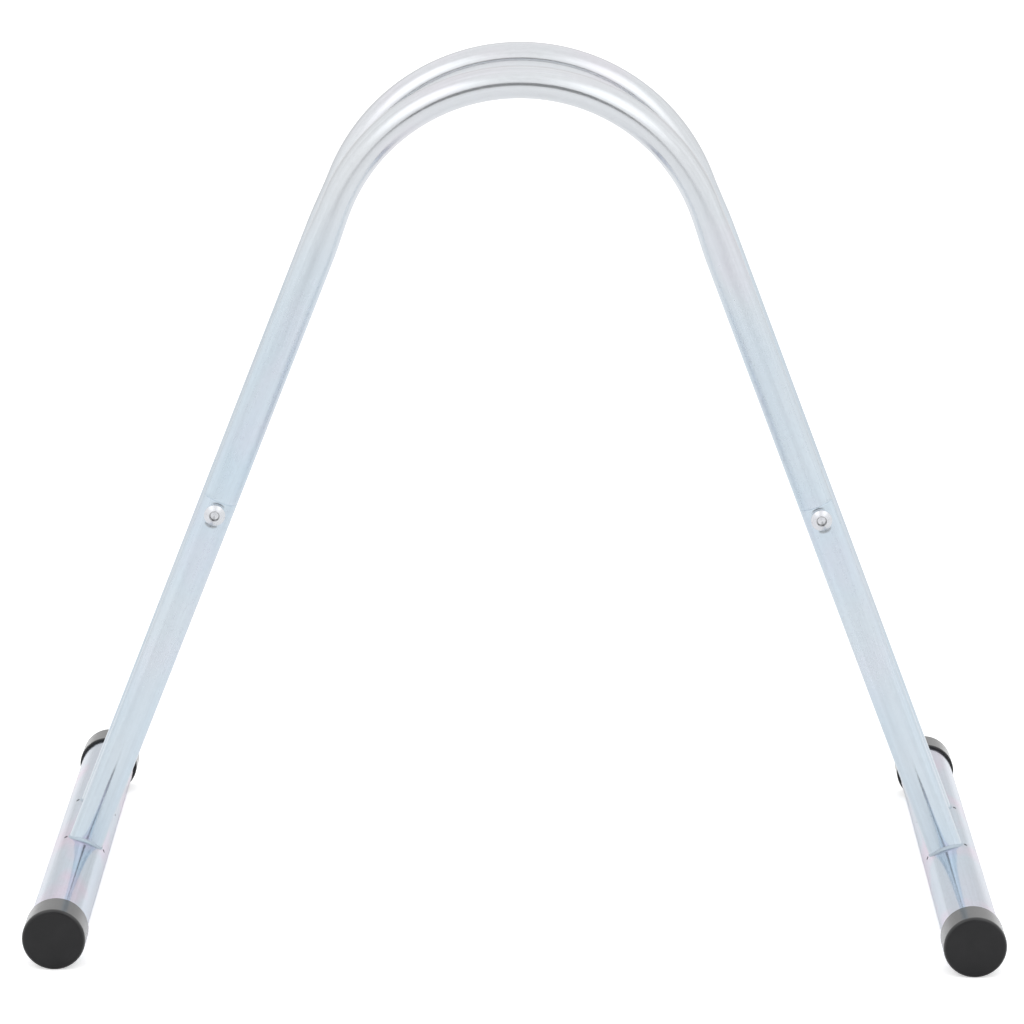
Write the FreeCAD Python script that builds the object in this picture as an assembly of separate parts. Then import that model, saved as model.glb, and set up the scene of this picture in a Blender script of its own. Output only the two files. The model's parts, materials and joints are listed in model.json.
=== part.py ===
import FreeCAD, Part
import math
import os
from FreeCAD import Vector

# Floor rack for one bicycle. Two inverted U hoops stand side by side on two
# short floor tubes, and the wheel rolls into the slot between the hoops.
# Each hoop is an arch whose swaged ends plug into two lower legs, and the
# legs are coped and welded onto the floor tubes.
# Millimetres. +Z is up, +X runs along the slot and +Y across it. The origin
# is on the floor under the middle of the rack.

# ---- driving dimensions ----

# floor tubes, with their axes along Y
floor_tube_diameter = 32.0
floor_tube_wall = 1.2
floor_tube_spacing = 508.0      # from axis to axis
rack_depth = 330.0              # over the end caps

# slip-on end caps, which are also the feet
cap_wall = 1.5
cap_end_thickness = 3.0
cap_sleeve_length = 17.0
cap_edge_radius = 2.0
cap_mouth_chamfer = 0.4
cap_fit = 0.05                  # radial, between the sleeve and the floor tube

# hoops
hoop_tube_diameter = 20.0
hoop_tube_wall = 1.2
hoop_foot_spacing = 66.0        # front hoop to back hoop, at the floor tubes
hoop_top_spacing = 91.0         # front hoop to back hoop, at the top
rack_height = 486.0
bend_radius = 110.0             # of the tube's centre line
bend_section_height = 18.0      # the bend flattens the tube in its own plane
bend_section_width = 21.6
bend_blend_length = 30.0        # of straight tube, from round to flattened

# knock-down joint between the arch and each leg
leg_length = 236.0              # from the floor tube's axis up to the joint
spigot_length = 40.0
spigot_wall = 1.2
spigot_fit = 0.15               # radial, inside the leg
shoulder_length = 6.0           # of the taper inside the arch, above a spigot
joint_chamfer = 0.3

# joint screw, its pressed seat and the half-moon nut inside the spigot
screw_drop = 8.0                # below the joint
screw_diameter = 6.0
screw_length = 10.0
screw_tip_chamfer = 0.7
screw_head_diameter = 12.0
screw_head_height = 3.3
screw_head_rim = 0.9            # height of the head's straight edge
socket_across_flats = 5.0
socket_depth = 2.2
socket_point_depth = 0.8
screw_hole_fit = 0.25           # radial, through both tube walls
thread_fit = 0.05               # radial, in the nut
seat_diameter = 14.0
seat_depth = 0.8
seat_fit = 0.15                 # between the two pressed walls
nut_length = 12.0               # along the spigot
nut_height = 5.0
nut_fit = 0.1                   # radial, in the spigot's bore

# welds at the feet, and the vent holes beside them
weld_radius = 2.0
weld_fit = 0.02                 # between the bead and the tubes
vent_diameter = 2.2
vent_distance = 2.3             # from a leg's side, round the floor tube

# ---- derived sizes ----

floor_tube_radius = floor_tube_diameter / 2
floor_tube_length = rack_depth - 2 * cap_end_thickness
cap_bore_radius = floor_tube_radius + cap_fit
cap_radius = cap_bore_radius + cap_wall
cap_length = cap_sleeve_length + cap_end_thickness
axis_height = cap_radius

hoop_radius = hoop_tube_diameter / 2
hoop_bore_radius = hoop_radius - hoop_tube_wall
spigot_radius = hoop_bore_radius - spigot_fit
spigot_bore_radius = spigot_radius - spigot_wall

# a hoop is flat, and leans outwards as a whole about the line of its feet
hoop_rise = rack_height - axis_height - bend_section_height / 2
hoop_lean_out = (hoop_top_spacing - hoop_foot_spacing) / 2
hoop_plane_rise = math.hypot(hoop_rise, hoop_lean_out)
lean_angle = math.degrees(math.atan2(hoop_lean_out, hoop_rise))

# the legs are tangent to the bend and aim at the floor tubes' axes
bend_centre_rise = hoop_plane_rise - bend_radius
foot_to_centre = math.hypot(floor_tube_spacing / 2, bend_centre_rise)
leg_angle = math.degrees(
    math.atan2(floor_tube_spacing / 2, bend_centre_rise)
    - math.asin(bend_radius / foot_to_centre)
)
tangent_height = math.sqrt(foot_to_centre ** 2 - bend_radius ** 2)
bend_sweep = 180.0 - 2 * leg_angle

screw_height = leg_length - screw_drop
seat_plane = hoop_radius - seat_depth
inner_seat_plane = seat_plane - hoop_tube_wall
spigot_seat_plane = inner_seat_plane - seat_fit
nut_plane = spigot_seat_plane - spigot_wall

X_AXIS = Vector(1, 0, 0)
Y_AXIS = Vector(0, 1, 0)
Z_AXIS = Vector(0, 0, 1)
ORIGIN = Vector(0, 0, 0)
JOINT_CENTRE = Vector(0, 0, leg_length)
SIDES = {"left": -1, "right": 1}
ENDS = {"front": -1, "back": 1}


# ---- placing ----
# A leg's own frame has its origin where the leg's axis meets the floor
# tube's axis, +Z up along the leg and -Y to the side that its screw is on.

def leg_to_hoop(shape, side):
    """Moves a shape from a leg's own frame to that side of an upright hoop."""
    placed = shape.copy()
    placed.rotate(ORIGIN, Y_AXIS, -side * leg_angle)
    placed.translate(Vector(side * floor_tube_spacing / 2, 0, 0))
    return placed


def hoop_to_rack(shape, end):
    """Leans an upright hoop's shape outwards and stands it at its end."""
    placed = shape.copy()
    placed.rotate(ORIGIN, X_AXIS, lean_angle)
    placed.translate(Vector(0, -hoop_foot_spacing / 2, axis_height))
    if end > 0:
        placed.rotate(ORIGIN, Z_AXIS, 180)
    return placed


def leg_to_rack(shape, side, end):
    """Places a leg's shape; the back hoop is the front one turned round."""
    return hoop_to_rack(leg_to_hoop(shape, -end * side), end)


# ---- shared forms ----

def tube_along_y(radius, length, x):
    return Part.makeCylinder(
        radius, length, Vector(x, -length / 2, axis_height), Y_AXIS
    )


def peg(radius, near, far):
    """A cylinder square to a leg on its screw side, at the screw's height."""
    start = Vector(0, -near, screw_height)
    return Part.makeCylinder(radius, far - near, start, -Y_AXIS)


def hexagon_prism(across_flats, near, far):
    """A hexagonal bar in the place of a peg."""
    corner_radius = across_flats / math.sqrt(3)
    corners = []
    for i in range(7):
        turn = math.radians(60 * i + 30)
        corners.append(
            Vector(
                corner_radius * math.cos(turn),
                -near,
                screw_height + corner_radius * math.sin(turn),
            )
        )
    face = Part.Face(Part.makePolygon(corners))
    return face.extrude(Vector(0, near - far, 0))


def ellipse_wire(centre, across, in_plane):
    """A closed section whose plane holds +Y and the direction of in_plane."""
    width = Y_AXIS * across
    if across >= in_plane.Length:
        curve = Part.Ellipse(centre + width, centre + in_plane, centre)
    else:
        curve = Part.Ellipse(centre + in_plane, centre + width, centre)
    return Part.Wire(curve.toShape())


def bend_solid(inset):
    """The flattened bend, shrunk by inset on all sides."""
    outwards = Vector(
        math.cos(math.radians(leg_angle)), 0, math.sin(math.radians(leg_angle))
    )
    bend_centre = Vector(0, 0, bend_centre_rise)
    section = ellipse_wire(
        bend_centre + outwards * bend_radius,
        bend_section_width / 2 - inset,
        outwards * (bend_section_height / 2 - inset),
    )
    return Part.Face(section).revolve(bend_centre, -Y_AXIS, bend_sweep)


def blend_solid(inset):
    """The stretch of a leg's line where the round tube becomes flattened."""
    sections = []
    steps = 4
    for i in range(steps + 1):
        share = i / steps
        eased = share * share * (3 - 2 * share)
        width = hoop_radius + eased * (bend_section_width / 2 - hoop_radius)
        height = hoop_radius + eased * (bend_section_height / 2 - hoop_radius)
        rise = tangent_height - bend_blend_length * (1 - share)
        sections.append(
            ellipse_wire(Vector(0, 0, rise), width - inset, X_AXIS * (height - inset))
        )
    return Part.makeLoft(sections, True, False)


def straight_solid(radius, low, high):
    """A round bar on a leg's axis between two heights."""
    return Part.makeCylinder(radius, high - low, Vector(0, 0, low))


def slab(near, far, low, high):
    """A block across a leg, between two depths on its screw side."""
    corner = Vector(-hoop_radius, -far, low)
    return Part.makeBox(2 * hoop_radius, far - near, high - low, corner)


def rim(shape, centre):
    """The circular edges of a shape that are centred on a point."""
    circles = [e for e in shape.Edges if isinstance(e.Curve, Part.Circle)]
    return [e for e in circles if e.CenterOfMass.distanceToPoint(centre) < 0.001]


# ---- pieces of a hoop, in a leg's own frame ----

def arch_side_outside():
    """The outside of one side of an arch, from the spigot up to the bend.

    The spigot is flat on its screw side, so that it slides past the seat.
    """
    tube_end = straight_solid(
        hoop_radius, leg_length, tangent_height - bend_blend_length
    )
    tube_end = tube_end.makeChamfer(joint_chamfer, rim(tube_end, JOINT_CENTRE))
    spigot_end = leg_length - spigot_length
    spigot = straight_solid(spigot_radius, spigot_end, leg_length).common(
        slab(-hoop_radius, spigot_seat_plane, spigot_end, leg_length)
    )
    return [tube_end, spigot, blend_solid(0)]


def arch_side_bore():
    """The bore of one side of an arch, tapered where the spigot is swaged."""
    taper = Part.makeCone(
        spigot_bore_radius,
        hoop_bore_radius,
        shoulder_length,
        Vector(0, 0, leg_length),
    )
    tube_bore = straight_solid(
        hoop_bore_radius,
        leg_length + shoulder_length,
        tangent_height - bend_blend_length,
    )
    spigot_end = leg_length - spigot_length
    spigot_bore = straight_solid(spigot_bore_radius, spigot_end, leg_length).common(
        slab(-hoop_radius, nut_plane, spigot_end, leg_length)
    )
    return [taper, tube_bore, spigot_bore, blend_solid(hoop_tube_wall)]


def joined(shapes):
    return shapes[0].fuse(shapes[1:]).removeSplitter()


def make_arch():
    """One arch with a swaged spigot at each end, as an upright hoop."""
    outside = [bend_solid(0)]
    bore = [bend_solid(hoop_tube_wall)]
    screw_holes = []
    hole = peg(screw_diameter / 2 + screw_hole_fit, 0, hoop_radius)
    for side in SIDES.values():
        outside += [leg_to_hoop(s, side) for s in arch_side_outside()]
        bore += [leg_to_hoop(s, side) for s in arch_side_bore()]
        screw_holes.append(leg_to_hoop(hole, side))
    return joined(outside).cut(joined(bore)).cut(screw_holes)


def make_leg(side, end):
    """A lower leg, coped to the floor tube that it stands on."""
    outside = straight_solid(hoop_radius, 0, leg_length)
    outside = outside.makeChamfer(joint_chamfer, rim(outside, JOINT_CENTRE))
    outside = outside.cut(peg(seat_diameter / 2, seat_plane, 2 * hoop_radius))
    bore = straight_solid(hoop_bore_radius, 0, leg_length)
    pressed_in = peg(
        seat_diameter / 2 + hoop_tube_wall, inner_seat_plane, hoop_radius
    )
    bore = bore.cut(pressed_in)
    hole = peg(screw_diameter / 2 + screw_hole_fit, 0, hoop_radius)
    leg = leg_to_rack(outside.cut(bore).cut(hole), side, end)
    floor_tube = tube_along_y(
        floor_tube_radius, rack_depth, side * floor_tube_spacing / 2
    )
    return leg.cut(floor_tube)


def make_weld(side, end):
    """The bead round a leg's foot, a hollow fillet."""
    bar = leg_to_rack(straight_solid(hoop_radius, 0, leg_length / 4), side, end)
    x = side * floor_tube_spacing / 2
    floor_bar = tube_along_y(floor_tube_radius, rack_depth, x)
    both = bar.fuse(floor_bar)
    saddle = [e for e in both.Edges if not isinstance(e.Curve, (Part.Circle, Part.Line))]
    filled = both.makeFillet(weld_radius, saddle)
    leg_room = straight_solid(hoop_radius + weld_fit, 0, leg_length)
    floor_room = tube_along_y(floor_tube_radius + weld_fit, 2 * rack_depth, x)
    return filled.cut([leg_to_rack(leg_room, side, end), floor_room])


def make_screw():
    """A button-head screw with a hexagon socket, in a leg's own frame."""
    tip = seat_plane - screw_length
    shank = peg(screw_diameter / 2, tip, seat_plane)
    tip_edge = rim(shank, Vector(0, -tip, screw_height))
    shank = shank.makeChamfer(screw_tip_chamfer, tip_edge)
    head_radius = screw_head_diameter / 2
    dome_height = screw_head_height - screw_head_rim
    dome_radius = (head_radius ** 2 + dome_height ** 2) / (2 * dome_height)
    crown = seat_plane + screw_head_height
    dome = Part.makeSphere(dome_radius, Vector(0, dome_radius - crown, screw_height))
    head = peg(head_radius, seat_plane, crown).common(dome)
    socket_floor = crown - socket_depth
    socket = hexagon_prism(socket_across_flats, socket_floor, crown + 1)
    point = Part.makeCone(
        0,
        socket_across_flats / 2,
        socket_point_depth,
        Vector(0, socket_point_depth - socket_floor, screw_height),
        -Y_AXIS,
    )
    return shank.fuse(head).cut([socket, point])


def make_nut():
    """The half-moon nut inside a spigot, shaped to its bore, in a leg's own frame."""
    low = screw_height - nut_length / 2
    high = screw_height + nut_length / 2
    bar = straight_solid(spigot_bore_radius - nut_fit, low, high)
    half_moon = bar.common(slab(nut_plane - nut_height, nut_plane, low, high))
    return half_moon.cut(peg(screw_diameter / 2 + thread_fit, -hoop_radius, nut_plane))


# ---- pieces of the base ----

def make_floor_tube(side):
    """A floor tube with a vent hole on each side of each leg's foot."""
    x = side * floor_tube_spacing / 2
    outside = tube_along_y(floor_tube_radius, floor_tube_length, x)
    bore_radius = floor_tube_radius - floor_tube_wall
    tube = outside.cut(tube_along_y(bore_radius, floor_tube_length, x))
    turn = math.asin(hoop_radius / floor_tube_radius)
    turn += vent_distance / floor_tube_radius
    for hand in SIDES.values():
        outwards = Vector(hand * math.sin(turn), 0, math.cos(turn))
        vent = Part.makeCylinder(
            vent_diameter / 2, floor_tube_diameter, ORIGIN, outwards
        )
        tube = tube.cut([leg_to_rack(vent, side, end) for end in ENDS.values()])
    return tube


def make_end_cap(side, end):
    """A closed cap whose sleeve slips over the end of a floor tube."""
    x = side * floor_tube_spacing / 2
    face_centre = Vector(x, end * rack_depth / 2, axis_height)
    inwards = Y_AXIS * -end
    body = Part.makeCylinder(cap_radius, cap_length, face_centre, inwards)
    body = body.makeFillet(cap_edge_radius, rim(body, face_centre))
    mouth_centre = face_centre + inwards * cap_length
    body = body.makeChamfer(cap_mouth_chamfer, rim(body, mouth_centre))
    bore_start = face_centre + inwards * cap_end_thickness
    return body.cut(
        Part.makeCylinder(cap_bore_radius, cap_sleeve_length, bore_start, inwards)
    )


# ---- the rack ----

def save(shape, node):
    solids = shape.Solids
    if len(solids) != 1 or not shape.isValid():
        raise ValueError(f"{node}: {len(solids)} solids, valid {shape.isValid()}")
    solids[0].exportStep(f"parts/{node}.step")


def main():
    os.makedirs("parts", exist_ok=True)
    arch = make_arch()
    screw = make_screw()
    nut = make_nut()
    for side_name, side in SIDES.items():
        save(make_floor_tube(side), f"{side_name}_floor_tube")
    for end_name, end in ENDS.items():
        save(hoop_to_rack(arch, end), f"{end_name}_arch")
        for side_name, side in SIDES.items():
            corner = f"{end_name}_{side_name}"
            save(make_end_cap(side, end), f"{corner}_end_cap")
            save(make_leg(side, end), f"{corner}_leg")
            save(make_weld(side, end), f"{corner}_foot_weld")
            save(leg_to_rack(screw, side, end), f"{corner}_joint_screw")
            save(leg_to_rack(nut, side, end), f"{corner}_joint_nut")


main()
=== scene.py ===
"""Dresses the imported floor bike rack: bright zinc tubes, black caps, a plain studio.

Everything is in metres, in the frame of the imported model: +Z up, +X along the
wheel slot, +Y from the front hoop to the back hoop.
"""

import json
import math

import bpy
from bpy.props import FloatProperty, FloatVectorProperty, IntProperty, PointerProperty
from mathutils import Matrix, Vector

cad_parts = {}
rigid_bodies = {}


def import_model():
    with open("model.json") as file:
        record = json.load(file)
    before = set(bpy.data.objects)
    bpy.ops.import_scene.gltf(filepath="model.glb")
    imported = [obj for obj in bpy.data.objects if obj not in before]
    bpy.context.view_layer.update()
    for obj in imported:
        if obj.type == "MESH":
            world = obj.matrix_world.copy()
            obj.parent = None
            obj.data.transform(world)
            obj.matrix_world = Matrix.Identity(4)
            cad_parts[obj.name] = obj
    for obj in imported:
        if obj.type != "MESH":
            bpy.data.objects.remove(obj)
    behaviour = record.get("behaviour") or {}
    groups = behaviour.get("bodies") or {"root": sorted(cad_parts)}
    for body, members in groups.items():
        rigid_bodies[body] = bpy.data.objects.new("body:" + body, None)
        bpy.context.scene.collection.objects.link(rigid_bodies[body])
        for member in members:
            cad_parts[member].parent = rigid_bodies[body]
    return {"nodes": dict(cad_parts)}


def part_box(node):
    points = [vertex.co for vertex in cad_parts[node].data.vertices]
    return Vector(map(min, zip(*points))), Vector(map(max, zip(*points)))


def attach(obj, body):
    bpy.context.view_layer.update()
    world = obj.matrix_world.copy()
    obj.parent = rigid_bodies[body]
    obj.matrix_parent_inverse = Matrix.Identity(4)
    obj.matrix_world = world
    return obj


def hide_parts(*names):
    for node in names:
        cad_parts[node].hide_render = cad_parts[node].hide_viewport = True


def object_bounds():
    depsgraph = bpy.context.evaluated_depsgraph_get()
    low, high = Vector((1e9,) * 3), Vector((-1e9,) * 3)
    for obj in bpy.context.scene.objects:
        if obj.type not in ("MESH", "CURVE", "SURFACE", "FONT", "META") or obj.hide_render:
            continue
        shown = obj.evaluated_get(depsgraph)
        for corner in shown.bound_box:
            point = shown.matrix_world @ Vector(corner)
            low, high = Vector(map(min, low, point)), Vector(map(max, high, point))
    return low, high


bl_info = {
    "name": "Floor Bike Rack",
    "version": (1, 0, 0),
    "blender": (4, 5, 0),
    "location": "View3D > Sidebar > Bike Rack",
    "description": "Builds the looks of a floor bike rack around its packed CAD model",
    "category": "Object",
}

for leftover in list(bpy.data.objects):
    bpy.data.objects.remove(leftover)
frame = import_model()
CAD_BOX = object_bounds()

BODY = "root"
SIDES = {"left": -1, "right": 1}
ENDS = {"front": -1, "back": 1}
CORNERS = [(end, side) for end in ENDS for side in SIDES]

# sizes that the frame gives
FLOOR_TUBE_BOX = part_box("right_floor_tube")
FLOOR_TUBE_DIAMETER = FLOOR_TUBE_BOX[1].x - FLOOR_TUBE_BOX[0].x
FLOOR_TUBE_SPACING = FLOOR_TUBE_BOX[1].x + FLOOR_TUBE_BOX[0].x
AXIS_HEIGHT = (FLOOR_TUBE_BOX[1].z + FLOOR_TUBE_BOX[0].z) / 2
RACK_HEIGHT = CAD_BOX[1].z


# ---- sizes and colours that a user would change ----

def length(name, description, default):
    """A setting in metres."""
    return FloatProperty(
        name=name, description=description, default=default, min=0, precision=5,
        unit="LENGTH",
    )


def colour(name, description, default):
    """A setting for a colour's red, green and blue."""
    return FloatVectorProperty(
        name=name, description=description, default=default, min=0, max=1,
        subtype="COLOR",
    )


def position(name, description, default):
    """A setting for a point in the room."""
    return FloatVectorProperty(
        name=name, description=description, default=default, subtype="TRANSLATION",
        unit="LENGTH",
    )


def share(name, description, default):
    """A setting from 0 to 1."""
    return FloatProperty(
        name=name, description=description, default=default, min=0, max=1,
        subtype="FACTOR",
    )


class RackHoopSizes(bpy.types.PropertyGroup):
    """Sizes of the two hoops, each an arch on two legs."""

    tube_diameter: length("Tube Diameter", "Outside of the hoop's tube", 0.020)
    wall: length("Wall", "Thickness of the hoop's tube", 0.0012)
    foot_spacing: length("Foot Spacing", "Front hoop to back hoop at the feet", 0.066)
    top_spacing: length("Top Spacing", "Front hoop to back hoop at the top", 0.091)
    bend_radius: length("Bend Radius", "Bend of the tube's centre line", 0.110)
    bend_height: length("Bend Height", "The flattened tube in its bend's plane", 0.018)
    bend_width: length("Bend Width", "The flattened tube across its bend", 0.0216)
    blend_length: length("Blend Length", "Straight tube from round to flattened", 0.030)
    leg_length: length("Leg Length", "Floor tube's axis to the joint", 0.236)
    spigot_length: length("Spigot Length", "Swaged end inside the leg", 0.040)
    spigot_gap: length("Spigot Gap", "Round the spigot, inside the leg", 0.00015)
    edge_break: length("Edge Break", "Softened edge of a tube's end", 0.0002)
    screw_drop: length("Screw Drop", "Joint to screw, down the leg", 0.008)
    seat_diameter: length("Seat Diameter", "Flat pressed under a screw's head", 0.014)
    seat_depth: length("Seat Depth", "How deep that flat is pressed", 0.0008)
    seat_edge: length("Seat Edge", "How far that flat's edge is rounded", 0.0006)
    ring_spacing: length("Ring Spacing", "Between rings of the arch's mesh", 0.0025)
    row_spacing: length("Row Spacing", "Between rows of the seat's mesh", 0.00033)
    sides: IntProperty(
        name="Sides", description="Faces round the arch's tube", default=72, min=8,
    )


class RackFinish(bpy.types.PropertyGroup):
    """Colours and textures of the zinc, the caps and the floor."""

    zinc: colour("Zinc", "Plating on the arches", (0.72, 0.735, 0.755))
    zinc_blue: colour("Blue Zinc", "Plating on the legs", (0.60, 0.705, 0.79))
    zinc_pink: colour("Pink Zinc", "Tint in the plating's patches", (0.78, 0.62, 0.75))
    zinc_lavender: colour("Lavender Zinc", "Plating on floor tubes", (0.70, 0.69, 0.78))
    zinc_dull: colour("Dull Zinc", "Plating on the welds", (0.42, 0.46, 0.50))
    cap: colour("Cap", "Moulded black plastic", (0.004, 0.004, 0.005))
    floor: colour("Floor", "Pale studio floor", (0.93, 0.93, 0.935))
    drawn_lines: share("Drawn Lines", "Strength of the lines along the tubes", 0.5)
    # the seat, socket and bore shades darken the colour as painted shade
    seat_shade: share("Seat Shade", "Darkness at the ends of a screw's seat", 0.4)
    socket_shade: share("Socket Shade", "Darkness of the socket in a screw's head", 0.5)
    bore_shade: share("Bore Shade", "Darkness inside the floor tubes", 0.93)
    zinc_relief: length("Zinc Relief", "Depth of the plating's texture", 0.00004)
    cap_relief: length("Cap Relief", "Depth of the caps' grain", 0.00003)


class RackStudio(bpy.types.PropertyGroup):
    """The camera, the lights and the floor."""

    camera_place: position("Camera", "Where the camera stands", (0.0048, -2.3431, 0.8351))
    aim: position("Aim", "What the picture's middle shows", (-0.0036, 0.0, 0.2204))
    roll: FloatProperty(
        name="Roll", description="Turn of the camera about its line of sight",
        default=math.radians(0.427), subtype="ANGLE",
    )
    lens: FloatProperty(
        name="Lens", description="Focal length on a 36 mm sensor", default=147.75,
        unit="CAMERA",
    )
    floor_size: length("Floor Size", "Side of the square floor", 24.0)
    floor_glow: share("Floor Glow", "Light added to the floor in the camera's view", 0.45)
    softbox_place: position(
        "Softbox", "The right softbox; the left one mirrors it", (1.385, -1.56, 2.275)
    )
    softbox_aim: position("Softbox Aim", "What both softboxes face", (0.0, 0.0, 0.45))
    softbox_along: FloatVectorProperty(
        name="Softbox Direction", description="Of the right softbox's long side",
        default=(0.29, 0.825, 0.484), subtype="DIRECTION",
    )
    softbox_width: length("Softbox Width", "Its short side", 2.65)
    softbox_length: length("Softbox Length", "Its long side", 4.7)
    softbox_power: FloatProperty(
        name="Softbox Power", description="Of each of the two softboxes", default=18.5,
        min=0, unit="POWER",
    )
    card_place: position("Dark Card", "Middle of the card behind the camera",
                         (0.0, -2.6, 0.6))
    card_width: length("Card Width", "The card from side to side", 1.2)
    card_height: length("Card Height", "The card from top to bottom", 1.18)
    room_light: FloatProperty(
        name="Room Light", description="Strength of the white walls", default=1.05, min=0,
    )
    room_dimming: share("Room Dimming", "How much dimmer the wall behind is", 0.25)


# ---- derived shape of a hoop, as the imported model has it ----

class HoopShape:
    """Angles and lengths that follow from a hoop's sizes."""

    def __init__(self, sizes):
        rise = RACK_HEIGHT - AXIS_HEIGHT - sizes.bend_height / 2
        lean_out = (sizes.top_spacing - sizes.foot_spacing) / 2
        self.foot_spacing = sizes.foot_spacing
        self.plane_rise = math.hypot(rise, lean_out)
        self.lean = math.atan2(lean_out, rise)
        centre_rise = self.plane_rise - sizes.bend_radius
        half_width = FLOOR_TUBE_SPACING / 2
        foot_to_centre = math.hypot(half_width, centre_rise)
        self.leg_angle = math.atan2(half_width, centre_rise) - math.asin(
            sizes.bend_radius / foot_to_centre
        )
        self.tangent_height = math.sqrt(foot_to_centre ** 2 - sizes.bend_radius ** 2)
        self.corner_rise = half_width / math.tan(self.leg_angle)

    def hoop_matrix(self, end):
        """From an upright hoop at the origin to its place in the rack."""
        lean = Matrix.Rotation(self.lean, 4, "X")
        place = Matrix.Translation((0, -self.foot_spacing / 2, AXIS_HEIGHT))
        turn = Matrix.Rotation(math.pi if end > 0 else 0.0, 4, "Z")
        return turn @ place @ lean

    def leg_matrix(self, side, end):
        """From a leg's own frame, +Z up the leg and -Y to its screw, to the rack."""
        side_in_hoop = -end * side
        tilt = Matrix.Rotation(-side_in_hoop * self.leg_angle, 4, "Y")
        place = Matrix.Translation((side_in_hoop * FLOOR_TUBE_SPACING / 2, 0, 0))
        return self.hoop_matrix(end) @ place @ tilt


# ---- node trees ----

class TreeMaker:
    """Adds nodes to a tree, and links or sets their inputs in one call."""

    def __init__(self, tree):
        self.tree = tree

    def feed(self, node, inputs):
        """Sets a node's inputs; inputs maps a name or number to a socket or a value."""
        for key, value in inputs.items():
            if isinstance(value, bpy.types.NodeSocket):
                self.tree.links.new(value, node.inputs[key])
            else:
                node.inputs[key].default_value = value

    def add(self, kind, inputs=None, **settings):
        """A new node of that kind, with its settings and its inputs."""
        node = self.tree.nodes.new(kind)
        for name, value in settings.items():
            setattr(node, name, value)
        self.feed(node, inputs or {})
        return node

    def math(self, operation, first, second=0.0, third=0.0):
        """The result socket of one Math node."""
        inputs = {0: first, 1: second, 2: third}
        return self.add("ShaderNodeMath", inputs, operation=operation).outputs[0]

    def vector_math(self, operation, first, second=(0, 0, 0)):
        """The result of one Vector Math node: a vector, or a value if it makes one."""
        inputs = {0: first, 1: second}
        outputs = self.add("ShaderNodeVectorMath", inputs, operation=operation).outputs
        gives_value = operation in ("DISTANCE", "DOT_PRODUCT", "LENGTH")
        return outputs["Value" if gives_value else "Vector"]

    def scaled(self, vector, scale):
        """A vector times a value."""
        inputs = {0: vector, "Scale": scale}
        return self.add("ShaderNodeVectorMath", inputs, operation="SCALE").outputs[0]

    def combined(self, **ways):
        """A vector from its X, Y and Z."""
        return self.add("ShaderNodeCombineXYZ", ways).outputs[0]

    def separate(self, vector):
        """The X, Y and Z of a vector."""
        return self.add("ShaderNodeSeparateXYZ", {0: vector}).outputs

    def remap(self, value, low, high, at_low=0.0, at_high=1.0, kind="LINEAR"):
        """at_low where a value is low, at_high where it is high, and between them."""
        return self.add(
            "ShaderNodeMapRange",
            {"Value": value, "From Min": low, "From Max": high,
             "To Min": at_low, "To Max": at_high},
            interpolation_type=kind,
        ).outputs[0]

    def smooth(self, value, low, high, at_low=0.0, at_high=1.0):
        """Like remap, with a soft start and a soft end."""
        return self.remap(value, low, high, at_low, at_high, "SMOOTHSTEP")

    def mixed(self, amount, first, second, blend="MIX"):
        """Two colours mixed."""
        inputs = {0: amount, 6: first, 7: second}
        node = self.add("ShaderNodeMix", inputs, data_type="RGBA", blend_type=blend)
        return node.outputs[2]

    def grey(self, tone):
        """A colour without a tint."""
        inputs = {0: tone, 1: tone, 2: tone}
        return self.add("ShaderNodeCombineColor", inputs).outputs[0]

    def arrange(self):
        """Sets the nodes out in columns, each right of all that it reads."""
        depth = {}

        def depth_of(node):
            if node.name not in depth:
                depth[node.name] = 0
                sources = [link.from_node for s in node.inputs for link in s.links]
                depth[node.name] = 1 + max(map(depth_of, sources), default=-1)
            return depth[node.name]

        filled = {}
        for node in self.tree.nodes:
            column = depth_of(node)
            row = filled.get(column, 0)
            filled[column] = row + 1
            node.location = (column * 220, row * -260)


def add_sockets(tree, inputs, outputs):
    """Declares a group's named sockets: inputs are (name, kind, default)."""
    for name, kind, default in inputs:
        socket = tree.interface.new_socket(name, in_out="INPUT", socket_type=kind)
        if default is not None:
            socket.default_value = default
    for name, kind in outputs:
        tree.interface.new_socket(name, in_out="OUTPUT", socket_type=kind)


def group_once(name, kind, fill):
    """The node group of that name, built on first use."""
    tree = bpy.data.node_groups.get(name)
    if tree is None:
        tree = bpy.data.node_groups.new(name, kind)
        fill(tree)
    return tree


# ---- the arch's tree: a tube swept along a path with rounded corners ----

GRAIN = "grain"
CREVICE = "crevice"


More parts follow.
